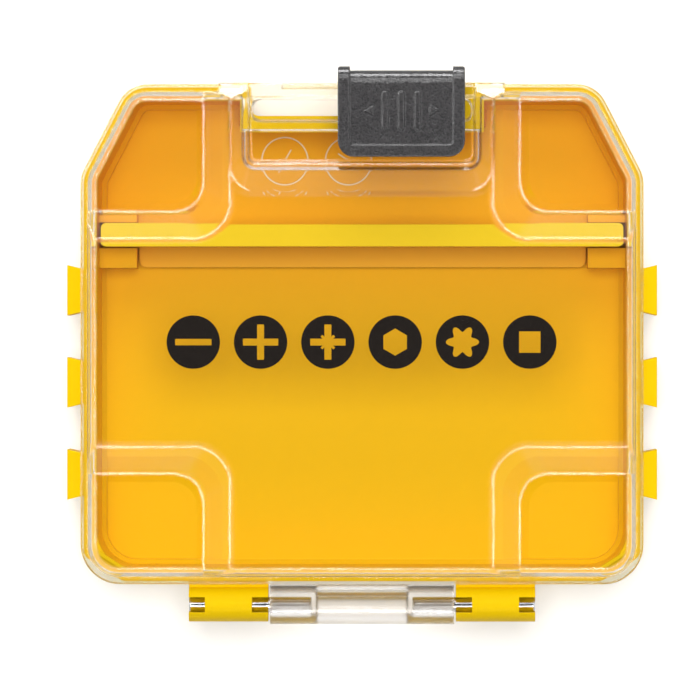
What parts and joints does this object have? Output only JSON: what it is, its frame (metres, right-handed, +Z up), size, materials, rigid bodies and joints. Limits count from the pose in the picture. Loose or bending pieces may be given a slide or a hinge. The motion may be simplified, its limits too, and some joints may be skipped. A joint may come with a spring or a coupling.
{
  "type": "stackable accessory case",
  "caption": "Pocket-size stackable case: moulded tray with dovetail side lugs, clear hinged lid, sliding latch and a lift-out cross divider.",
  "frame": {"origin": "the plane that the case's four feet stand on, under the middle of the box round the whole closed case", "axes": "+X to the right along the hinge, the long way; +Y from the hinge to the latch; +Z up, out of the lid, the short way"},
  "size_m": [0.1204, 0.1133, 0.036],
  "materials": {
    "yellow_plastic": "satin",
    "clear_plastic": "gloss",
    "black_plastic": "matte",
    "steel": "satin"
  },
  "bodies": {
    "base": {"tray": "yellow_plastic", "hinge_pin_left": "steel", "hinge_pin_right": "steel"},
    "lid": {"lid": "clear_plastic"},
    "latch": {"latch": "black_plastic"},
    "divider": {"divider": "yellow_plastic"}
  },
  "joints": [
    {"name": "lid_hinge", "type": "hinge", "parent": "base", "child": "lid", "pos_m": [0, -0.05265, 0.02], "axis": [1, 0, 0], "range_deg": [0, 180]},
    {"name": "latch_slide", "type": "slide", "parent": "lid", "child": "latch", "axis": [-1, 0, 0], "range_m": [0, 0.0161]},
    {"name": "divider_lift", "type": "slide", "parent": "base", "child": "divider", "axis": [0, 0, 1], "range_m": [0, 0.008]}
  ]
}
